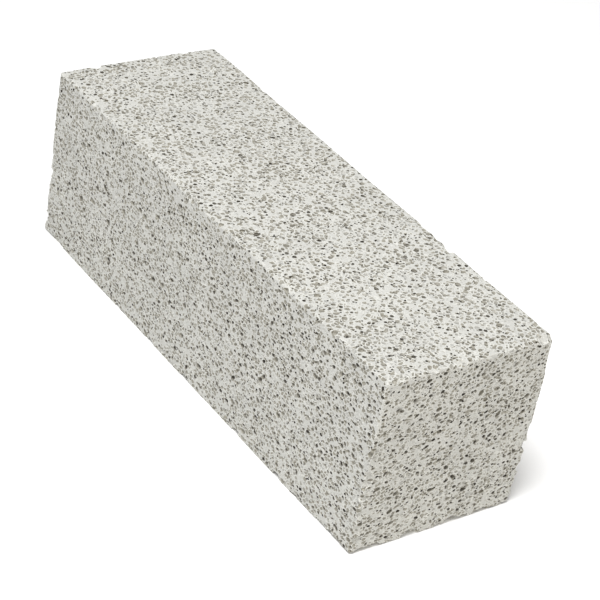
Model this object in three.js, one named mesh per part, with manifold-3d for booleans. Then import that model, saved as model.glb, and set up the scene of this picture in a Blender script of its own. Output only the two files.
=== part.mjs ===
// A bar of pumice, sawn square out of foamed stone: one solid, with a flat underside, slightly wandering
// saw cuts, worn edges and a few knocks. Millimetres; X runs along the bar and Z is up, and the origin is
// the middle of the underside.
import * as THREE from "three";
import { mergeVertices } from "three/addons/utils/BufferGeometryUtils.js";
import Module from "manifold-3d";

const wasm = await Module();
wasm.setup();

// The bar
const LENGTH = 152;
const WIDTH = 49.45;
const HEIGHT = 50;

// Wear along the edges and on the corners
const EDGE_WEAR = 0.5; // mean radius of a worn edge
const EDGE_WEAR_SWING = 0.2; // how far that radius comes and goes along the edge
const SWING_RATE = { x: 0.31, y: 0.47, z: 0.43, skew: 0.23 }; // how quickly, in radians per millimetre
const UNDER_WEAR = 0.5; // share of all this wear at the underside; the whole of it shows at the top
const CORNER_WEAR = 0.4; // more radius right on a corner
const CORNER_REACH = 3.5; // how far from a corner that extra wear is felt

// The saw: how far a cut wanders from a true plane, and how far the ends lean
const SAW_WANDER = 0.12;
const WANDER_LENGTH = 47; // one slow wave of the blade
const WAVE_SHARE = 0.6; // of the wander that the slow wave along the cut makes; one across it makes the rest
const CROSS_RATE = 1.7; // waves across the cut, to each wave along it
const CROSS_PHASE = 2.3; // how much faster the phase of that second wave turns
const END_LEAN = 0.2;
const CUT_PHASE = { end: 1, side: 3, top: 5 }; // so that no two cuts wander alike

// The mesh: close rows beside each edge, wide ones between
const EDGE_ROWS = 3;
const EDGE_ROW_STEP = 0.55;
const SEGMENTS = { x: 18, y: 10, z: 10 };

// A knock is a rough lump, turned its own way, that stands a little outside the edge.
const LUMP_DETAIL = 1;
const LUMP_TURN = { x: 0.7, y: 1.1 }; // more turn for each knock in the list, in radians
const LUMP_PROUD = 0.16; // how far outside, to its least size

// Knocks: where each one is centred, and its length, width and depth across the edge that it breaks.
// +1 and -1 are the bar's own faces, so [0.2, -1, 1] is on the front top edge, a little towards the near end.
const KNOCKS = [
  // near end
  { at: [1, -0.29, -1], size: [3.7, 4.4, 3.7] },
  { at: [1, -0.86, -1], size: [2.5, 15, 2.6] },
  { at: [1, 0.26, -1], size: [1.9, 12, 2.0] },
  { at: [1, 0.59, -1], size: [2.8, 3.6, 2.9] },
  { at: [1, 1, -0.97], size: [3.6, 3.4, 3.6] },
  { at: [1, 1, -0.31], size: [1.8, 1.8, 3.4] },
  { at: [1, 1, 0.86], size: [2.3, 2.3, 17] },
  { at: [1, 1, 1], size: [5.4, 5.2, 5.0] },
  { at: [1, -1, 1], size: [1.9, 1.8, 1.9] },
  // top edges
  { at: [0.93, 1, 1], size: [4.2, 1.5, 1.6] },
  { at: [0.6, 1, 1], size: [4.4, 1.4, 1.5] },
  { at: [0.46, 1, 1], size: [2.2, 1.6, 1.7] },
  { at: [-0.03, 1, 1], size: [2.6, 1.3, 1.4] },
  { at: [-0.56, 1, 1], size: [5.4, 1.3, 1.4] },
  { at: [-0.97, 1, 1], size: [3.4, 1.4, 1.4] },
  { at: [-0.56, -1, 1], size: [2.4, 1.5, 1.3] },
  { at: [0.62, -1, 1], size: [1.9, 1.2, 1.2] },
  { at: [-1, 0.92, 1], size: [1.3, 2.6, 1.3] },
  // front underside edge
  { at: [0.97, -1, -1], size: [2.2, 1.5, 1.5] },
  { at: [0.69, -1, -1], size: [1.8, 1.3, 1.3] },
  { at: [0.58, -1, -1], size: [2.0, 1.3, 1.3] },
  { at: [0.34, -1, -1], size: [2.6, 1.7, 1.6] },
  { at: [0.02, -1, -1], size: [4.6, 1.1, 1.1] },
  { at: [-0.23, -1, -1], size: [3.6, 1.3, 1.3] },
  { at: [-0.45, -1, -1], size: [1.9, 1.2, 1.2] },
  // back and far end
  { at: [-1, -1, 0.72], size: [1.5, 1.4, 3.4] },
  { at: [-1, -1, -0.04], size: [1.3, 1.2, 2.0] },
  { at: [-1, 1, -1], size: [3.0, 2.8, 2.4] },
  { at: [0.15, 1, -1], size: [4.2, 1.4, 1.3] },
  { at: [-1, 1, 0.4], size: [1.2, 1.3, 3.2] },
];

const HALF = new THREE.Vector3(LENGTH / 2, WIDTH / 2, HEIGHT / 2);

// Slow, smooth variation between -1 and 1, the same at the same place every time.
function drift(a, b, phase) {
  const wave = (2 * Math.PI) / WANDER_LENGTH;
  const along = Math.sin(wave * a + phase);
  const across = Math.sin(CROSS_RATE * wave * b + CROSS_PHASE * phase);
  return WAVE_SHARE * along + (1 - WAVE_SHARE) * across;
}

// Moves an evenly spaced row to its place: EDGE_ROWS rows a short step apart at each end, the rest even.
function rowAt(value, half, segments) {
  const row = Math.round(((value + half) / (2 * half)) * segments);
  const fromEnd = Math.min(row, segments - row);
  if (fromEnd <= EDGE_ROWS) {
    const inset = half - fromEnd * EDGE_ROW_STEP;
    return row * 2 < segments ? -inset : inset;
  }
  const inner = half - EDGE_ROWS * EDGE_ROW_STEP;
  return -inner + (2 * inner * (row - EDGE_ROWS)) / (segments - 2 * EDGE_ROWS);
}

// The radius that an edge is worn to at p.
function wearAt(p) {
  const toCorner = HALF.clone().sub(new THREE.Vector3(Math.abs(p.x), Math.abs(p.y), Math.abs(p.z)));
  const corner = Math.exp(-toCorner.lengthSq() / CORNER_REACH ** 2);
  const swing =
    Math.sin(SWING_RATE.x * p.x + SWING_RATE.y * p.y) *
    Math.cos(SWING_RATE.z * p.z - SWING_RATE.skew * p.x);
  const share = THREE.MathUtils.mapLinear(p.z, -HALF.z, HALF.z, UNDER_WEAR, 1);
  return share * (EDGE_WEAR + EDGE_WEAR_SWING * swing + CORNER_WEAR * corner);
}

// Rounds the block's edges: a point in an edge's rounded zone goes onto the worn radius.
function wear(p) {
  const radius = wearAt(p);
  const core = HALF.clone().subScalar(radius);
  const inner = p.clone().clamp(core.clone().negate(), core);
  const out = p.clone().sub(inner);
  if (out.lengthSq() > 0) out.setLength(radius);
  return inner.add(out);
}

// Lets every face but the underside wander as the blade did.
function wander(p) {
  const up = (p.z + HALF.z) / HEIGHT;
  const side = p.y / HALF.y;
  const end = p.x / HALF.x;
  p.x += end * (END_LEAN * (up - 0.5) + SAW_WANDER * drift(p.y, p.z, CUT_PHASE.end + end));
  p.y += side * SAW_WANDER * drift(p.x, p.z, CUT_PHASE.side + side);
  p.z += up * SAW_WANDER * drift(p.x, p.y, CUT_PHASE.top);
  return p;
}

// A closed three.js geometry as a manifold-3d solid.
function solidOf(geometry) {
  const bare = geometry.clone();
  bare.deleteAttribute("normal");
  bare.deleteAttribute("uv");
  const merged = mergeVertices(bare, 1e-4);
  return new wasm.Manifold(
    new wasm.Mesh({
      numProp: 3,
      vertProperties: merged.attributes.position.array,
      triVerts: new Uint32Array(merged.index.array),
    }),
  );
}

// A manifold-3d solid as a three.js geometry.
function geometryOf(solid) {
  const mesh = solid.getMesh();
  const geometry = new THREE.BufferGeometry();
  geometry.setAttribute("position", new THREE.BufferAttribute(mesh.vertProperties, 3));
  geometry.setIndex(new THREE.BufferAttribute(mesh.triVerts, 1));
  geometry.computeVertexNormals();
  return geometry;
}

// The sawn block before anything has struck it.
function sawnBlock() {
  const box = new THREE.BoxGeometry(LENGTH, WIDTH, HEIGHT, SEGMENTS.x, SEGMENTS.y, SEGMENTS.z);
  const places = box.attributes.position;
  const p = new THREE.Vector3();
  for (let i = 0; i < places.count; i++) {
    p.fromBufferAttribute(places, i);
    p.set(
      rowAt(p.x, HALF.x, SEGMENTS.x),
      rowAt(p.y, HALF.y, SEGMENTS.y),
      rowAt(p.z, HALF.z, SEGMENTS.z),
    );
    const worn = wander(wear(p));
    places.setXYZ(i, worn.x, worn.y, worn.z);
  }
  return solidOf(box);
}

// What one knock takes away.
function knockOut({ at, size }, index) {
  const lump = new THREE.IcosahedronGeometry(0.5, LUMP_DETAIL);
  const outward = new THREE.Vector3(...at.map((a) => (Math.abs(a) === 1 ? a : 0))).normalize();
  lump.rotateX(LUMP_TURN.x * index);
  lump.rotateY(LUMP_TURN.y * index);
  lump.scale(...size);
  const shift = LUMP_PROUD * Math.min(...size);
  lump.translate(
    at[0] * HALF.x + outward.x * shift,
    at[1] * HALF.y + outward.y * shift,
    at[2] * HALF.z + outward.z * shift,
  );
  return solidOf(lump);
}

let bar = sawnBlock();
for (const [index, knock] of KNOCKS.entries()) bar = bar.subtract(knockOut(knock, index));

const geometry = geometryOf(bar);
geometry.computeBoundingBox();
const { min, max } = geometry.boundingBox;
geometry.translate(-(min.x + max.x) / 2, -(min.y + max.y) / 2, -min.z);

const stone = new THREE.Mesh(
  geometry,
  new THREE.MeshStandardMaterial({ color: 0xcac8c0, roughness: 0.95, metalness: 0 }),
);
stone.name = "pumice_stone";

const group = new THREE.Group();
group.add(stone);

export default group;
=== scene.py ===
"""A sawn bar of pumice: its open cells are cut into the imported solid, and it lies on a pale floor."""

import bisect
import collections
import math
import random
from dataclasses import dataclass

import bmesh
import bpy
from bpy.props import (
    FloatProperty,
    FloatVectorProperty,
    IntProperty,
    PointerProperty,
)
from mathutils import Matrix, Vector
from mathutils.bvhtree import BVHTree


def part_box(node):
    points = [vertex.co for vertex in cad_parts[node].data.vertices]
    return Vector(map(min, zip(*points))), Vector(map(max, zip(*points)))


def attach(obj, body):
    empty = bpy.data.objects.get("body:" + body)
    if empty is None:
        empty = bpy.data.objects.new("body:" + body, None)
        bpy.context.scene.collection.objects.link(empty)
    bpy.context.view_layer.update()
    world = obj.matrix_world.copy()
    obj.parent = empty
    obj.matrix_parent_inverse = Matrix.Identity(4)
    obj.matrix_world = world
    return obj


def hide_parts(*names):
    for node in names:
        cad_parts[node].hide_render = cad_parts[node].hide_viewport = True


bl_info = {
    "name": "Pumice Bar",
    "version": (1, 0, 0),
    "blender": (4, 5, 0),
    "location": "3D View > Sidebar > Pumice",
    "description": "Cuts the open cells of a sawn pumice bar and sets it on a studio floor",
    "category": "Object",
}

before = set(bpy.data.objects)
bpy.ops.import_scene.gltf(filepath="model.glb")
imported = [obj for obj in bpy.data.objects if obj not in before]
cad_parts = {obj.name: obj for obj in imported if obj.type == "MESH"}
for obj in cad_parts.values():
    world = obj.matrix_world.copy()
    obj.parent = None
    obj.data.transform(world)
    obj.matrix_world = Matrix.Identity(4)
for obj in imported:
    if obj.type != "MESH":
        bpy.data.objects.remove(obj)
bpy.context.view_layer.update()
STONE_NODE = "pumice_stone"
STONE_LOW, STONE_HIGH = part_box(STONE_NODE)

MM = 0.001
SQUARE_MM = MM * MM
TRIANGLES_MOST = 198_000
MERGED = 1e-7  # points nearer than this are one, in metres
CRISP = math.radians(50)  # cell walls that meet at more than this keep a crisp edge

# The foam
PRESSED = Vector((-0.2, 0, 1)).normalized()  # the way it was pressed flat
FLATTER = 0.78  # how tall its cells are that way, to their width
DRAWN_OUT = 1 / FLATTER - 1  # how much wider than tall they are, to their height

# What the mesh carries
TONE = "cell_tone"  # on faces: how dark the cell's wall is painted, 0 to 1; the deeper cells are darker, partly painted shade
DEEP = "cell_deep"  # on faces: how deep the whole cell is, in millimetres
SIDE = "side"  # on faces: which side of the bar it opens onto, as a place in SHEET
DEPTH = "depth"  # on points: how far below the sawn surface, in millimetres
SAWN, CELL = 0, 1  # its material places

# Where the cells go
TRIES = 14  # places tried for each cell
MOST_JOINED = 0.6  # how near two joined cells may come, to the distance at which they would clear
ALIKE = 0.95  # cells whose ways out are less alike than this may meet inside the bar
REACH = 3.0  # the furthest apart that two of the widest cells can touch, to their width
EDGE_TURN = 0.97  # a face whose direction is less square to the bar than this is on a worn edge
UPPER_CHIPS = 0.14  # share of the chips that the upper edges keep
# Over 1 favours shallow, pale cells: on the sides square to X, Y and Z, from the near end to the far one.
# The side to side difference is partly the foam's grain and partly painted shade, standing for the deeper
# shadows in the cells of the sides that the light from above grazes.
PALER = ((1.0, 1.0), (0.55, 1.7), (1.4, 1.5))

# The shapes of the cells
MOST_LONGER = 0.3  # how much longer than the others the longest cells are, to their width
LEAN = 0.4  # how far to one side a cell's bottom may lie, to its radius
SPREAD = math.radians(28)  # how widely the long cells are turned from level with the pressed foam
PROUD = 0.12  # how far a cutter's widest ring stands proud of the surface, to the cell's radius
BATCH = 100  # cutters joined at a time, because joining costs more the larger the mesh is

# The finish of the cells
THIN_WALL = 0.25 * MM  # a wall thinner than this is painted paler, painted light as if shining through the glass
SHUFFLE = 37.7  # makes an even lot of each cell's tone
CLOSED_THROATS = 0.4  # share of the cells whose throats are closed, without the painted shade of an open throat

# The flat sheet on which the six sides are drawn, one millimetre apart: for -X, +X, -Y, +Y, -Z and +Z in
# turn, the axis that runs across the side, the one that runs up it, and its column and row.
SHEET = ((1, 2, 1, 0), (1, 2, 1, 1), (0, 2, 0, 0), (0, 2, 0, 1), (0, 1, 0, 2), (0, 1, 0, 3))
SHEET_GAP = 1 * MM
SHEET_NAME = "OFBake"

# The stage, in metres
FLOOR_RADIUS = 4.0
LAMP_WIDTH = 0.4
KEY_PLACE = Vector((0.17, -0.27, 0.84))
FILL_PLACE = Vector((0.9, -0.1, 0.3))
FILL_COLOUR = (1, 0.84, 0.56)


# ---------------------------------------------------------------- settings


class PUMICE_PG_cells(bpy.types.PropertyGroup):
    """The sizes and numbers of the open cells."""

    seed: IntProperty(name="Seed", description="Which random set of cells is cut", default=7)
    largest: FloatProperty(
        name="Largest", description="Width of the widest cells",
        default=1.85 * MM, unit="LENGTH",
    )
    big: FloatProperty(
        name="Big", description="Width above which a cell is a big one",
        default=1.3 * MM, unit="LENGTH",
    )
    middle: FloatProperty(
        name="Middling", description="Width above which a cell is a middling one",
        default=0.84 * MM, unit="LENGTH",
    )
    smallest: FloatProperty(
        name="Smallest", description="Width of the narrowest cells that are cut",
        default=0.5 * MM, unit="LENGTH",
    )
    big_share: FloatProperty(
        name="Big ones", description="Big cells on each square millimetre", default=0.018
    )
    middle_share: FloatProperty(
        name="Middling ones", description="Middling cells on each square millimetre", default=0.145
    )
    small_share: FloatProperty(
        name="Small ones", description="Small cells on each square millimetre", default=0.127
    )
    wall: FloatProperty(
        name="Wall", description="Thinnest wall between two cells that don't run together",
        default=0.07 * MM, unit="LENGTH",
    )
    joined: FloatProperty(
        name="Joined", description="Share of cells that may run into a neighbour",
        default=0.2, subtype="FACTOR",
    )
    chip_smallest: FloatProperty(
        name="Smallest chip", description="Width of the narrowest chips broken off the edges",
        default=1.3 * MM, unit="LENGTH",
    )
    chip_largest: FloatProperty(
        name="Largest chip", description="Width of the widest chips broken off the edges",
        default=4.4 * MM, unit="LENGTH",
    )
    chip_share: FloatProperty(
        name="Chips", description="Chips on each square millimetre of worn edge", default=2.6
    )


class PUMICE_PG_finish(bpy.types.PropertyGroup):
    """The colours of the stone."""

    sawn: FloatVectorProperty(
        name="Sawn face", description="Powdery sawn glass between the cells",
        subtype="COLOR", size=3, min=0, max=1, default=(0.556, 0.555, 0.524),
    )
    # the palest cell colour, for the shallowest cells: the deeper a cell, the further its colour goes
    # from this towards the wall and deep colours, partly painted shade
    pale: FloatVectorProperty(
        name="Pale wall", description="Inside of a shallow, dusty cell",
        subtype="COLOR", size=3, min=0, max=1, default=(0.51, 0.5, 0.46),
    )
    wall: FloatVectorProperty(
        name="Cell wall", description="Inside of most cells",
        subtype="COLOR", size=3, min=0, max=1, default=(0.335, 0.32, 0.272),
    )
    # painted shade: this near-black is put in deep cells, their throats and windows, and the pinholes,
    # where the dark is the shade in a hollow
    deep: FloatVectorProperty(
        name="Deep wall", description="Inside of a deep, narrow cell",
        subtype="COLOR", size=3, min=0, max=1, default=(0.04, 0.032, 0.023),
    )


class PUMICE_PG_stage(bpy.types.PropertyGroup):
    """The floor, the lights and the camera."""

    floor_colour: FloatVectorProperty(
        name="Floor", description="Colour of the plain floor",
        subtype="COLOR", size=3, min=0, max=1, default=(0.95, 0.95, 0.95),
    )
    sky: FloatProperty(name="Sky", description="Strength of the even light all round", default=0.5)
    key: FloatProperty(
        name="Key", description="Strength of the soft light above", default=7.6, unit="POWER"
    )
    fill: FloatProperty(
        name="Fill", description="Strength of the warm light on the near end",
        default=0.9, unit="POWER",
    )
    lens: FloatProperty(
        name="Lens", description="Focal length of the camera", default=119.3, unit="CAMERA"
    )
    azimuth: FloatProperty(
        name="Azimuth", description="Which way round the bar the camera stands",
        default=math.radians(50.1), unit="ROTATION",
    )
    elevation: FloatProperty(
        name="Elevation", description="How far the camera looks down",
        default=math.radians(32.8), unit="ROTATION",
    )
    roll: FloatProperty(
        name="Roll", description="How far the camera is tipped to one side",
        default=math.radians(10.7), unit="ROTATION",
    )
    distance: FloatProperty(
        name="Distance", description="From the camera to the point it looks at",
        default=0.5066, unit="LENGTH",
    )
    aim_ahead: FloatProperty(
        name="Aim ahead", description="How far past the middle, towards the near end, it looks",
        default=0.01145, unit="LENGTH",
    )
    aim_above: FloatProperty(
        name="Aim above", description="How far above the middle it looks",
        default=0.0003, unit="LENGTH",
    )


# ---------------------------------------------------------------- node helpers


def clear_tree(tree):
    """An empty node tree, whatever it held."""
    tree.nodes.clear()
    return tree.nodes, tree.links


def material(name):
    """A new material with one Principled shader and its output."""
    made = bpy.data.materials.new(name)
    made.use_nodes = True
    nodes, links = clear_tree(made.node_tree)
    shader = nodes.new("ShaderNodeBsdfPrincipled")
    output = nodes.new("ShaderNodeOutputMaterial")
    links.new(shader.outputs["BSDF"], output.inputs["Surface"])
    return made, nodes, links, shader


def math_node(nodes, links, operation, first, second, clamp=False):
    """One Math node; each input is a socket or a number."""
    node = nodes.new("ShaderNodeMath")
    node.operation = operation
    node.use_clamp = clamp
    for socket, value in zip(node.inputs, (first, second)):
        if isinstance(value, bpy.types.NodeSocket):
            links.new(value, socket)
        else:
            socket.default_value = value
    return node.outputs[0]


def shifted(nodes, links, place, way, far):
    """place, moved that far along way; way is a socket or a vector."""
    step = nodes.new("ShaderNodeVectorMath")
    step.operation = "SCALE"
    if isinstance(way, bpy.types.NodeSocket):
        links.new(way, step.inputs[0])
    else:
        step.inputs[0].default_value = way
    links.new(far, step.inputs["Scale"])
    total = nodes.new("ShaderNodeVectorMath")
    total.operation = "ADD"
    links.new(place, total.inputs[0])
    links.new(step.outputs[0], total.inputs[1])
    return total.outputs[0]


def ramp_between(nodes, links, value, low, high, to_low=0.0, to_high=1.0):
    """value, moved from low..high to to_low..to_high and held there."""
    node = nodes.new("ShaderNodeMapRange")
    node.interpolation_type = "SMOOTHSTEP"
    links.new(value, node.inputs["Value"])
    node.inputs["From Min"].default_value = low
    node.inputs["From Max"].default_value = high
    node.inputs["To Min"].default_value = to_low
    node.inputs["To Max"].default_value = to_high
    return node.outputs["Result"]


def mix_colour(nodes, links, share, first, second, blend="MIX"):
    """A colour between first and second; each is a socket or a colour."""
    node = nodes.new("ShaderNodeMix")
    node.data_type = "RGBA"
    node.blend_type = blend
    for name, value in (("Factor", share), ("A", first), ("B", second)):
        socket = next(
            s
            for s in node.inputs
            if s.name == name and s.type == ("VALUE" if name == "Factor" else "RGBA")
        )
        if isinstance(value, bpy.types.NodeSocket):
            links.new(value, socket)
        elif name == "Factor":
            socket.default_value = value
        else:
            socket.default_value = (*value[:3], 1.0)
    return next(s for s in node.outputs if s.type == "RGBA")


# ---------------------------------------------------------------- effects shared by the materials


def grain_group():
    """Powdery grain: small pale and dark specks, and slow cloudiness, for any face of the stone."""
    group = bpy.data.node_groups.new("stone grain", "ShaderNodeTree")
    interface = group.interface
    speck = interface.new_socket("Speck Size", in_out="INPUT", socket_type="NodeSocketFloat")
    speck.default_value = 0.25 * MM
    cloud = interface.new_socket("Cloud Size", in_out="INPUT", socket_type="NodeSocketFloat")
    cloud.default_value = 6 * MM
    interface.new_socket("Specks", in_out="OUTPUT", socket_type="NodeSocketFloat")
    interface.new_socket("Clouds", in_out="OUTPUT", socket_type="NodeSocketFloat")
    nodes, links = clear_tree(group)
    given = nodes.new("NodeGroupInput")
    result = nodes.new("NodeGroupOutput")
    place = nodes.new("ShaderNodeTexCoord").outputs["Object"]
    for size, detail, out in (("Speck Size", 2.0, "Specks"), ("Cloud Size", 3.0, "Clouds")):
        noise = nodes.new("ShaderNodeTexNoise")
        noise.inputs["Detail"].default_value = detail
        noise.inputs["Roughness"].default_value = 0.6
        links.new(place, noise.inputs["Vector"])
        scale = math_node(nodes, links, "DIVIDE", 1.0, given.outputs[size])
        links.new(scale, noise.inputs["Scale"])
        links.new(noise.outputs["Fac"], result.inputs[out])
    return group


def foam_group():
    """Cells too slight to cut: rounded openings in a 3D foam, each with a tone of its own."""
    group = bpy.data.node_groups.new("fine foam", "ShaderNodeTree")
    interface = group.interface
    for name, value in (
        ("Spacing", 1.2 * MM), ("Cell Size", 0.5), ("Wall", 0.06), ("Share", 0.5), ("Warp", 0.2),
    ):
        socket = interface.new_socket(name, in_out="INPUT", socket_type="NodeSocketFloat")
        socket.default_value = value
    for name in ("Opening", "Bowl", "Rim", "Tone"):
        interface.new_socket(name, in_out="OUTPUT", socket_type="NodeSocketFloat")
    nodes, links = clear_tree(group)
    given = nodes.new("NodeGroupInput")
    result = nodes.new("NodeGroupOutput")
    place = nodes.new("ShaderNodeTexCoord").outputs["Object"]
    scale = math_node(nodes, links, "DIVIDE", 1.0, given.outputs["Spacing"])
    noise = nodes.new("ShaderNodeTexNoise")
    noise.inputs["Detail"].default_value = 1
    links.new(place, noise.inputs["Vector"])
    links.new(math_node(nodes, links, "MULTIPLY", scale, 1.4), noise.inputs["Scale"])
    reach = math_node(nodes, links, "MULTIPLY", given.outputs["Warp"], given.outputs["Spacing"])
    moved = shifted(nodes, links, place, noise.outputs["Color"], reach)
    along = nodes.new("ShaderNodeVectorMath")
    along.operation = "DOT_PRODUCT"
    links.new(moved, along.inputs[0])
    along.inputs[1].default_value = PRESSED
    pressed = math_node(nodes, links, "MULTIPLY", along.outputs["Value"], DRAWN_OUT)
    moved = shifted(nodes, links, moved, PRESSED, pressed)
    cells, edges = (nodes.new("ShaderNodeTexVoronoi") for _ in range(2))
    cells.feature = "F1"
    edges.feature = "DISTANCE_TO_EDGE"
    for cut in (cells, edges):
        links.new(moved, cut.inputs["Vector"])
        links.new(scale, cut.inputs["Scale"])
    split = nodes.new("ShaderNodeSeparateColor")
    links.new(cells.outputs["Color"], split.inputs["Color"])
    is_open = math_node(nodes, links, "LESS_THAN", split.outputs["Red"], given.outputs["Share"])
    radius = math_node(
        nodes, links, "MULTIPLY", given.outputs["Cell Size"],
        math_node(nodes, links, "ADD", 0.5, split.outputs["Green"]),
    )
    within = math_node(
        nodes, links, "MINIMUM",
        math_node(nodes, links, "SUBTRACT", radius, cells.outputs["Distance"]),
        math_node(nodes, links, "SUBTRACT", edges.outputs["Distance"], given.outputs["Wall"]),
    )
    opening = ramp_between(nodes, links, within, 0.0, 0.06)
    bowl = ramp_between(nodes, links, within, 0.0, 0.45)
    # a band just outside each opening, which the sawn finish paints paler as a highlight
    near = ramp_between(nodes, links, within, -0.14, -0.03)
    rim_highlight = math_node(nodes, links, "SUBTRACT", near, opening, clamp=True)
    for value, out in ((opening, "Opening"), (bowl, "Bowl"), (rim_highlight, "Rim")):
        links.new(math_node(nodes, links, "MULTIPLY", value, is_open), result.inputs[out])
    links.new(split.outputs["Blue"], result.inputs["Tone"])
    return group


def placed_group(nodes, group, **values):
    """A copy of a shared effect in a material, with its own values."""
    node = nodes.new("ShaderNodeGroup")
    node.node_tree = group
    for name, value in values.items():
        node.inputs[name.replace("_", " ").title()].default_value = value
    return node


# ---------------------------------------------------------------- finishes


def sawn_finish(finish, grain, foam):
    """The sawn faces: pale, powdery and rough, with slight cells between the cut ones, painted highlights
    on thin walls and rims, and painted shade in the slight cells and pinholes.
    """
    made, nodes, links, shader = material("sawn_foam")
    specks = placed_group(nodes, grain, speck_size=0.22 * MM, cloud_size=9 * MM)
    dishes = placed_group(
        nodes, foam, spacing=1.2 * MM, cell_size=0.6, wall=0.06, share=0.9, warp=0.25
    )
    pits = placed_group(
        nodes, foam, spacing=0.6 * MM, cell_size=0.42, wall=0.06, share=0.45, warp=0.3
    )
    bright = ramp_between(nodes, links, specks.outputs["Specks"], 0.3, 0.7, 0.91, 1.06)
    cloudy = ramp_between(nodes, links, specks.outputs["Clouds"], 0.3, 0.7, 0.96, 1.03)
    level = math_node(nodes, links, "MULTIPLY", bright, cloudy)
    # painted light: thin walls are painted paler, as if lit through the glass, and the rims of the slight
    # cells get a painted highlight
    thick = nodes.new("ShaderNodeAmbientOcclusion")
    thick.inside = True
    thick.only_local = True
    thick.samples = 4
    thick.inputs["Distance"].default_value = THIN_WALL
    thin_wall_glow = ramp_between(nodes, links, thick.outputs["AO"], 0.3, 0.95, 1.24, 1.0)
    level = math_node(nodes, links, "MULTIPLY", level, thin_wall_glow)
    # painted highlight round the rims of the slight cells
    rim_highlight = ramp_between(nodes, links, dishes.outputs["Rim"], 0.0, 1.0, 1.0, 1.15)
    level = math_node(nodes, links, "MULTIPLY", level, rim_highlight)
    # each slight cell is as dark as its own tone, partly the grey of its glass and partly painted shade
    # of a hollow that isn't cut, and a few of the least are pinholes painted near-black, the painted
    # shade of a deep hole
    colour = (*finish.sawn, 1.0)
    for cells, darkest in ((dishes, 1.0), (pits, 0.6)):
        dark = ramp_between(nodes, links, cells.outputs["Tone"], -0.1, 0.75)
        dark = math_node(nodes, links, "MULTIPLY", dark, darkest)
        dark = math_node(nodes, links, "MULTIPLY", dark, cells.outputs["Opening"])
        colour = mix_colour(nodes, links, dark, colour, finish.wall)
    pinhole_shade = ramp_between(nodes, links, pits.outputs["Tone"], 0.8, 0.88)
    pinhole_shade = math_node(nodes, links, "MULTIPLY", pinhole_shade, pits.outputs["Opening"])
    colour = mix_colour(nodes, links, pinhole_shade, colour, finish.deep)
    shade = nodes.new("ShaderNodeHueSaturation")
    links.new(colour, shade.inputs["Color"])
    links.new(level, shade.inputs["Value"])
    links.new(shade.outputs["Color"], shader.inputs["Base Color"])
    shader.inputs["Roughness"].default_value = 0.95
    shader.inputs["Specular IOR Level"].default_value = 0.2
    hollow = math_node(
        nodes, links, "ADD", dishes.outputs["Bowl"],
        math_node(nodes, links, "MULTIPLY", pits.outputs["Bowl"], 0.35),
    )
    height = math_node(
        nodes, links, "SUBTRACT",
        math_node(nodes, links, "MULTIPLY", specks.outputs["Specks"], 0.4), hollow,
    )
    bump = nodes.new("ShaderNodeBump")
    bump.inputs["Strength"].default_value = 1.0
    bump.inputs["Distance"].default_value = 0.4 * MM
    links.new(height, bump.inputs["Height"])
    links.new(bump.outputs["Normal"], shader.inputs["Normal"])
    return made


def own_value(nodes, name):
    """A value that the mesh carries."""
    node = nodes.new("ShaderNodeAttribute")
    node.attribute_name = name
    return node.outputs["Fac"]


def cell_finish(finish, grain, foam):
    """The insides of the cells: glassy grey-brown, with painted shade that makes the deeper cells darker
    and blackens their depths.
    """
    made, nodes, links, shader = material("cell_wall")
    specks = placed_group(nodes, grain, speck_size=0.3 * MM, cloud_size=5 * MM)
    windows = placed_group(
        nodes, foam, spacing=0.9 * MM, cell_size=0.4, wall=0.05, share=0.3, warp=0.3
    )
    tone = own_value(nodes, TONE)
    down = math_node(nodes, links, "DIVIDE", own_value(nodes, DEPTH), own_value(nodes, DEEP))
    # from pale to grey as the tone rises, then on to near-black, painted shade, in the darkest cells,
    # which are the deepest
    greying = ramp_between(nodes, links, tone, 0.0, 0.5)
    deep_shade = ramp_between(nodes, links, tone, 0.5, 1.0)
    wall = mix_colour(nodes, links, greying, finish.pale, finish.wall)
    wall = mix_colour(nodes, links, deep_shade, wall, finish.deep)
    # painted shade: near-black low in most cells, the shade of a throat into the next cell down, and
    # near-black spots in their walls, the shade of small windows
    throat_shade = ramp_between(nodes, links, down, 0.45, 0.8)
    lot = math_node(nodes, links, "MULTIPLY", tone, SHUFFLE)
    lot = math_node(nodes, links, "FRACT", lot, 0.0)
    open_throat = math_node(nodes, links, "GREATER_THAN", lot, CLOSED_THROATS)
    throat_shade = math_node(nodes, links, "MULTIPLY", throat_shade, open_throat)
    wall = mix_colour(nodes, links, throat_shade, wall, finish.deep)
    under = ramp_between(nodes, links, down, 0.2, 0.5)
    window_shade = math_node(nodes, links, "MULTIPLY", windows.outputs["Opening"], under)
    wall = mix_colour(nodes, links, window_shade, wall, finish.deep)
    bright = ramp_between(nodes, links, specks.outputs["Specks"], 0.3, 0.7, 0.85, 1.12)
    shade = nodes.new("ShaderNodeHueSaturation")
    links.new(wall, shade.inputs["Color"])
    links.new(bright, shade.inputs["Value"])
    links.new(shade.outputs["Color"], shader.inputs["Base Color"])
    shader.inputs["Roughness"].default_value = 0.7
    bowl = ramp_between(nodes, links, down, 0.0, 0.6, 1.0, 0.0)
    height = math_node(
        nodes, links, "ADD", bowl,
        math_node(nodes, links, "MULTIPLY", specks.outputs["Specks"], 0.3),
    )
    bump = nodes.new("ShaderNodeBump")
    bump.inputs["Strength"].default_value = 0.6
    bump.inputs["Distance"].default_value = 0.25 * MM
    links.new(height, bump.inputs["Height"])
    links.new(bump.outputs["Normal"], shader.inputs["Normal"])
    return made


# ---------------------------------------------------------------- the stone


def side_of(way):
    """Which side of the bar faces that way."""
    axis = max(range(3), key=lambda n: abs(way[n]))
    return 2 * axis + (way[axis] > 0)


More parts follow.
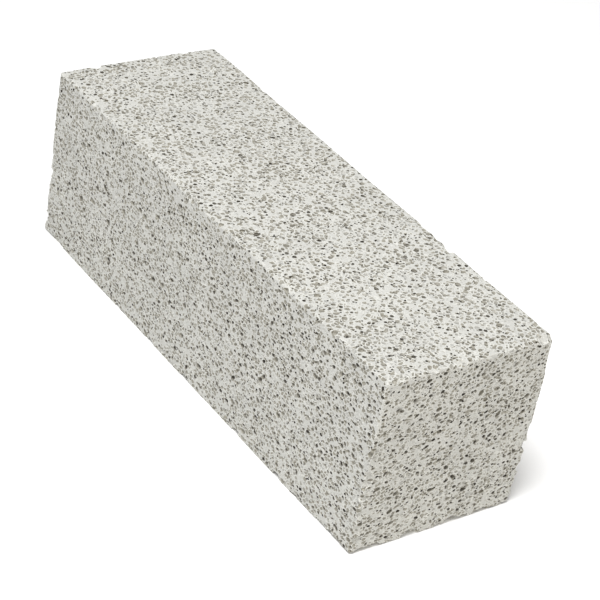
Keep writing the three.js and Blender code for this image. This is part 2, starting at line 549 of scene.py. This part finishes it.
def draw_flat(bm):
    """Draws each side, with its cells, flat on the sheet."""
    sheet = bm.loops.layers.uv.new(SHEET_NAME)
    side = bm.faces.layers.float[SIDE]
    size = STONE_HIGH - STONE_LOW
    column, row = size.x + SHEET_GAP, max(size.y, size.z) + SHEET_GAP
    whole = max(size.x + size.y + 2 * SHEET_GAP, 4 * row)
    for face in bm.faces:
        across, up, along, above = SHEET[round(face[side])]
        for loop in face.loops:
            place = loop.vert.co - STONE_LOW
            loop[sheet].uv = (
                (place[across] + along * column + SHEET_GAP / 2) / whole,
                (place[up] + above * row + SHEET_GAP / 2) / whole,
            )


class Surface:
    """Some faces of the bar, to draw random places from."""

    def __init__(self, faces):
        self.faces = [
            ([loop.vert.co.copy() for loop in face.loops], face.normal.copy()) for face in faces
        ]
        self.sums = []
        total = 0.0
        for face in faces:
            total += face.calc_area()
            self.sums.append(total)
        self.area = total

    def draw(self, rng):
        """A random point on the surface and the way out there."""
        index = min(bisect.bisect(self.sums, rng.random() * self.area), len(self.faces) - 1)
        (a, b, c), normal = self.faces[index]
        u, v = rng.random(), rng.random()
        if u + v > 1:
            u, v = 1 - u, 1 - v
        return a + (b - a) * u + (c - a) * v, normal


class Packing:
    """The cells placed so far, in a grid that finds the near ones quickly."""

    def __init__(self, pitch):
        self.pitch = pitch
        self.boxes = {}

    def key(self, point):
        """Which box of the grid the point is in."""
        return tuple(math.floor(x / self.pitch) for x in point)

    def near(self, point):
        """The cells in the point's box and the boxes round it."""
        i, j, k = self.key(point)
        for di in (-1, 0, 1):
            for dj in (-1, 0, 1):
                for dk in (-1, 0, 1):
                    yield from self.boxes.get((i + di, j + dj, k + dk), ())

    def add(self, cell):
        """Puts one more cell into its box."""
        self.boxes.setdefault(self.key(cell.place), []).append(cell)


@dataclass
class Kind:
    """A size of cell: how wide, how many, how its cutter is faceted, how deep and how dark."""

    name: str
    widths: tuple  # of the narrowest and the widest
    share: float  # on each square millimetre
    skew: float  # over 1 favours the narrow ones
    sides: int
    rings: int
    depths: tuple  # to its radius, for the palest and the darkest
    tones: tuple  # of the palest and the darkest
    finish: int = CELL  # material place of what it leaves
    jitter: float = 0.1  # how uneven its outline is, to its radius


@dataclass
class Cell:
    """One open cell: where the saw met it, its size there and below, and how dark its wall is."""

    kind: Kind
    place: Vector
    out: Vector
    radius: float
    longer: float  # its length, to its width
    deep: float
    tone: float
    cut: int = 0  # which of the cuts takes it out

    def reach(self, other):
        """How far its cutter may come from its middle, towards the other cell's."""
        uneven = 1 + self.kind.jitter * math.sqrt(2)
        side = self.radius * (math.sqrt(self.longer) * uneven + PROUD)
        return side if self.out.dot(other.out) > ALIKE else max(side, self.deep)


def kinds_of(cells):
    """The three sizes of cell, biggest first."""
    return (
        Kind(
            "big", (cells.big, cells.largest), cells.big_share, skew=1.6,
            sides=8, rings=4, depths=(0.7, 1.2), tones=(0.2, 0.65),
        ),
        Kind(
            "middle", (cells.middle, cells.big), cells.middle_share, skew=1.1,
            sides=6, rings=2, depths=(0.8, 1.6), tones=(0.27, 0.9),
        ),
        Kind(
            "small", (cells.smallest, cells.middle), cells.small_share, skew=1.1,
            sides=5, rings=2, depths=(1.1, 2.2), tones=(0.5, 1),
        ),
    )


def chips_of(cells):
    """The one kind of chip."""
    return (
        Kind(
            "chip", (cells.chip_smallest, cells.chip_largest), cells.chip_share, skew=1.6,
            sides=7, rings=3, depths=(0.35, 0.75), tones=(0, 0), finish=SAWN, jitter=0.25,
        ),
    )


def between(ends, share):
    """The value that share of the way from the first end to the last."""
    return ends[0] + (ends[1] - ends[0]) * share


def scatter(kinds, surface, wall, joined, rng):
    """Places the cells, biggest first, with a wall between them unless they may run together."""
    packing = Packing(REACH * max(kind.widths[1] for kind in kinds))
    placed = []
    for kind in kinds:
        wanted = round(kind.share * surface.area / SQUARE_MM)
        widths = sorted(
            (between(kind.widths, rng.random() ** kind.skew) for _ in range(wanted)),
            reverse=True,
        )
        for width in widths:
            for _ in range(TRIES):
                cell = new_cell(kind, width / 2, surface, rng)
                joins = rng.random() < joined
                if fits(cell, packing, wall, joins):
                    packing.add(cell)
                    placed.append(cell)
                    break
    return placed


def new_cell(kind, radius, surface, rng):
    """One cell somewhere on the surface: the deeper it is, the darker it is painted, partly as painted
    shade.
    """
    place, out = surface.draw(rng)
    far = (STONE_HIGH.x - place.x) / (STONE_HIGH.x - STONE_LOW.x)
    dark = rng.random() ** between(PALER[side_of(out) // 2], far)
    across = math.sqrt(1 - out.dot(PRESSED) ** 2)
    longer = (1 + DRAWN_OUT * across) * (1 + MOST_LONGER * rng.random() ** 2)
    deep = radius * between(kind.depths, dark)
    return Cell(kind, place, out, radius, longer, deep, between(kind.tones, dark))


def fits(cell, packing, wall, joins):
    """Whether its neighbours leave the cell room. Gives it the first cut that none of them shares."""
    taken = set()
    for other in packing.near(cell.place):
        apart = (cell.place - other.place).length
        least = cell.radius + other.radius + wall
        if apart < (MOST_JOINED * least if joins else least):
            return False
        if apart < cell.reach(other) + other.reach(cell):
            taken.add(other.cut)
    cell.cut = next(n for n in range(len(taken) + 1) if n not in taken)
    return True


def cutter_shape(kind):
    """A faceted ball one unit in radius, for every cutter of this kind to be stretched from."""
    bm = bmesh.new()
    bmesh.ops.create_uvsphere(bm, u_segments=kind.sides, v_segments=kind.rings, radius=1)
    return bm


def cutter(shape, cell, rng):
    """The solid that one cell takes away: an uneven top shape whose widest ring is just proud."""
    bm = shape.copy()
    for vert in bm.verts:
        vert.co.x += rng.uniform(-cell.kind.jitter, cell.kind.jitter)
        vert.co.y += rng.uniform(-cell.kind.jitter, cell.kind.jitter)
    size = (
        cell.radius * math.sqrt(cell.longer), cell.radius / math.sqrt(cell.longer), cell.deep, 1
    )
    upright = cell.out.to_track_quat("Z", "Y").to_matrix().to_4x4()
    # the long way lies level with the pressed foam, give or take the spread
    pressed = upright.transposed() @ PRESSED
    level = math.atan2(-pressed.x, pressed.y)
    turn = Matrix.Rotation(level + rng.gauss(0, SPREAD), 4, "Z")
    # a slant, so that the bottom lies to one side
    lean = Matrix.Identity(4)
    lean[0][2] = rng.uniform(-LEAN, LEAN)
    lean[1][2] = rng.uniform(-LEAN, LEAN)
    place = Matrix.Translation(cell.place + cell.out * (PROUD * cell.radius))
    bm.transform(place @ upright @ turn @ Matrix.Diagonal(size) @ lean)
    return bm


def cutter_object(name, cells, shapes, rng, materials):
    """One mesh of cutters that don't touch, each with its own tone."""
    step = bpy.data.meshes.new(name)
    whole = bmesh.new()
    tones, deeps, sides, finishes = [], [], [], []
    for start in range(0, len(cells), BATCH):
        some = bmesh.new()
        for cell in cells[start : start + BATCH]:
            one = cutter(shapes[cell.kind.name], cell, rng)
            tones += [cell.tone] * len(one.faces)
            deeps += [cell.deep / MM] * len(one.faces)
            sides += [side_of(cell.out)] * len(one.faces)
            finishes += [cell.kind.finish] * len(one.faces)
            one.to_mesh(step)
            one.free()
            some.from_mesh(step)
        some.to_mesh(step)
        some.free()
        whole.from_mesh(step)
    for face, finish in zip(whole.faces, finishes):
        face.material_index = finish
        face.smooth = finish == CELL
    whole.to_mesh(step)
    whole.free()
    for layer, values in ((TONE, tones), (DEEP, deeps), (SIDE, sides)):
        step.attributes.new(layer, "FLOAT", "FACE").data.foreach_set("value", values)
    for finish in materials:
        step.materials.append(finish)
    made = bpy.data.objects.new(name, step)
    bpy.context.scene.collection.objects.link(made)
    return made


def cut(stone, cells, kinds, rng):
    """Takes the cells out of the stone, a set that don't touch at a time."""
    shapes = {kind.name: cutter_shape(kind) for kind in kinds}
    tools = []
    for turn in range(max(cell.cut for cell in cells) + 1):
        some = [cell for cell in cells if cell.cut == turn]
        tools.append(cutter_object(f"cutters_{turn}", some, shapes, rng, stone.data.materials))
    for tool in tools:
        step = stone.modifiers.new(tool.name, "BOOLEAN")
        step.operation = "DIFFERENCE"
        step.solver = "MANIFOLD"
        step.object = tool
    ready = stone.evaluated_get(bpy.context.evaluated_depsgraph_get())
    mesh = bpy.data.meshes.new_from_object(ready)
    stone.modifiers.clear()
    stone.data = mesh
    for tool in tools:
        bpy.data.objects.remove(tool)
    for shape in shapes.values():
        shape.free()


def triangles_of(mesh):
    """A mesh as triangles, ready to draw places from."""
    bm = bmesh.new()
    bm.from_mesh(mesh)
    bmesh.ops.remove_doubles(bm, verts=bm.verts[:], dist=MERGED)
    bmesh.ops.triangulate(bm, faces=bm.faces[:])
    bm.normal_update()
    return bm


def rank(face, points):
    """A number that puts triangles in one order, whatever order the cuts left them in."""
    first, second, third = sorted(vert.index for vert in face.verts)
    return (first * points + second) * points + third


def finish_mesh(stone, outer):
    """Leaves triangles only, with crisp rims, smooth cells and the depth of each point below outer."""
    bm = bmesh.new()
    bm.from_mesh(stone.data)
    bmesh.ops.triangulate(bm, faces=bm.faces[:], quad_method="BEAUTY", ngon_method="BEAUTY")
    corners = collections.defaultdict(list)
    for face in bm.faces:
        corners[frozenset(face.verts)].append(face)
    folded = [face for faces in corners.values() if len(faces) > 1 for face in faces]
    bmesh.ops.delete(bm, geom=folded, context="FACES")
    points = len(bm.verts)
    bm.faces.sort(key=lambda face: rank(face, points))
    for face in bm.faces:
        face.smooth = True
    for edge in bm.edges:
        kinds = {face.material_index for face in edge.link_faces}
        edge.smooth = len(kinds) < 2 and edge.calc_face_angle(0) < CRISP
    draw_flat(bm)
    bm.to_mesh(stone.data)
    depth = [
        0.0 if all(face.material_index == SAWN for face in vert.link_faces)
        else outer.find_nearest(vert.co)[3] / MM
        for vert in bm.verts
    ]
    bm.free()
    stone.data.attributes.new(DEPTH, "FLOAT", "POINT").data.foreach_set("value", depth)


class PUMICE_OT_stone(bpy.types.Operator):
    """Cut the open cells into the sawn bar"""

    bl_idname = "pumice.stone"
    bl_label = "Pumice stone"

    def execute(self, context):
        cells = context.scene.pumice_cells
        finish = context.scene.pumice_finish
        rng = random.Random(cells.seed)

        bm = triangles_of(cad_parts[STONE_NODE].data)
        side = bm.faces.layers.float.new(SIDE)
        for face in bm.faces:
            face.material_index = SAWN
            face[side] = side_of(face.normal)
        whole = Surface(bm.faces)
        worn = Surface([face for face in bm.faces if max(map(abs, face.normal)) < EDGE_TURN])
        mesh = bpy.data.meshes.new("pumice_foam")
        bm.to_mesh(mesh)
        bm.free()
        grain, foam = grain_group(), foam_group()
        mesh.materials.clear()
        for made in (sawn_finish(finish, grain, foam), cell_finish(finish, grain, foam)):
            mesh.materials.append(made)
        stone = bpy.data.objects.new("pumice_foam", mesh)
        context.scene.collection.objects.link(stone)

        chips = [
            chip
            for chip in scatter(chips_of(cells), worn, 0.0, 1.0, rng)
            if chip.place.z < STONE_HIGH.z / 2 or rng.random() < UPPER_CHIPS
        ]
        cut(stone, chips, chips_of(cells), rng)
        bm = triangles_of(stone.data)
        outer = BVHTree.FromBMesh(bm)
        bm.free()
        placed = scatter(kinds_of(cells), whole, cells.wall, cells.joined, rng)
        cut(stone, placed, kinds_of(cells), rng)
        finish_mesh(stone, outer)
        triangles = len(stone.data.polygons)
        print(f"{len(chips)} chips, {len(placed)} cells in, {triangles} triangles")
        if triangles > TRIANGLES_MOST:
            raise RuntimeError(f"the stone has {triangles} triangles")

        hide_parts(STONE_NODE)
        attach(stone, "root")
        return {"FINISHED"}


# ---------------------------------------------------------------- the stage


class PUMICE_OT_stage(bpy.types.Operator):
    """Lay the floor, hang the soft lights and stand the camera"""

    bl_idname = "pumice.stage"
    bl_label = "Stage"

    def execute(self, context):
        scene = context.scene
        stage = scene.pumice_stage
        scene.view_settings.view_transform = "Standard"

        bm = bmesh.new()
        bmesh.ops.create_circle(bm, cap_ends=True, segments=64, radius=FLOOR_RADIUS)
        mesh = bpy.data.meshes.new("floor")
        bm.to_mesh(mesh)
        bm.free()
        floor = bpy.data.objects.new("floor", mesh)
        paint, _, _, shader = material("floor_paint")
        shader.inputs["Base Color"].default_value = (*stage.floor_colour, 1.0)
        shader.inputs["Roughness"].default_value = 0.9
        mesh.materials.append(paint)
        scene.collection.objects.link(floor)

        world = bpy.data.worlds.new("studio")
        world.use_nodes = True
        world.node_tree.nodes["Background"].inputs["Color"].default_value = (1, 1, 1, 1)
        world.node_tree.nodes["Background"].inputs["Strength"].default_value = stage.sky
        scene.world = world

        for name, power, place, colour in (
            ("key", stage.key, KEY_PLACE, (1, 1, 1)),
            ("fill", stage.fill, FILL_PLACE, FILL_COLOUR),
        ):
            soft = bpy.data.lights.new(name, "AREA")
            soft.shape = "DISK"
            soft.size = LAMP_WIDTH
            soft.energy = power
            soft.color = colour
            lamp = bpy.data.objects.new(name, soft)
            lamp.location = place
            lamp.rotation_euler = (-place).to_track_quat("-Z", "Y").to_euler()
            scene.collection.objects.link(lamp)

        middle = (STONE_LOW + STONE_HIGH) / 2
        aim = middle + Vector((stage.aim_ahead, 0, stage.aim_above))
        back = Vector(
            (
                math.sin(stage.azimuth) * math.cos(stage.elevation),
                -math.cos(stage.azimuth) * math.cos(stage.elevation),
                math.sin(stage.elevation),
            )
        )
        lens = bpy.data.cameras.new("camera")
        lens.lens = stage.lens
        lens.clip_start = 0.01
        camera = bpy.data.objects.new("camera", lens)
        camera.location = aim + back * stage.distance
        turned = (-back).to_track_quat("-Z", "Y").to_matrix() @ Matrix.Rotation(stage.roll, 3, "Z")
        camera.rotation_euler = turned.to_euler()
        scene.collection.objects.link(camera)
        scene.camera = camera
        return {"FINISHED"}


# ---------------------------------------------------------------- the panel


class PUMICE_PT_panel(bpy.types.Panel):
    """Lists what makes the bar and its stage"""

    bl_label = "Pumice bar"
    bl_idname = "PUMICE_PT_panel"
    bl_space_type = "VIEW_3D"
    bl_region_type = "UI"
    bl_category = "Pumice"

    def draw(self, context):
        scene = context.scene
        for group in (scene.pumice_cells, scene.pumice_finish, scene.pumice_stage):
            for name in group.bl_rna.properties.keys():
                if name not in ("rna_type", "name"):
                    self.layout.prop(group, name)
        for operator in (PUMICE_OT_stage, PUMICE_OT_stone):
            self.layout.operator(operator.bl_idname)


CLASSES = (
    PUMICE_PG_cells,
    PUMICE_PG_finish,
    PUMICE_PG_stage,
    PUMICE_OT_stone,
    PUMICE_OT_stage,
    PUMICE_PT_panel,
)


def register():
    """Adds the settings, operators and panel to Blender."""
    for made in CLASSES:
        bpy.utils.register_class(made)
    bpy.types.Scene.pumice_cells = PointerProperty(type=PUMICE_PG_cells)
    bpy.types.Scene.pumice_finish = PointerProperty(type=PUMICE_PG_finish)
    bpy.types.Scene.pumice_stage = PointerProperty(type=PUMICE_PG_stage)


def unregister():
    """Takes them away again."""
    del bpy.types.Scene.pumice_stage
    del bpy.types.Scene.pumice_finish
    del bpy.types.Scene.pumice_cells
    for made in reversed(CLASSES):
        bpy.utils.unregister_class(made)


def main():
    """Makes the stage and the stone."""
    register()
    bpy.ops.pumice.stage()
    bpy.ops.pumice.stone()


if __name__ == "__main__":
    main()
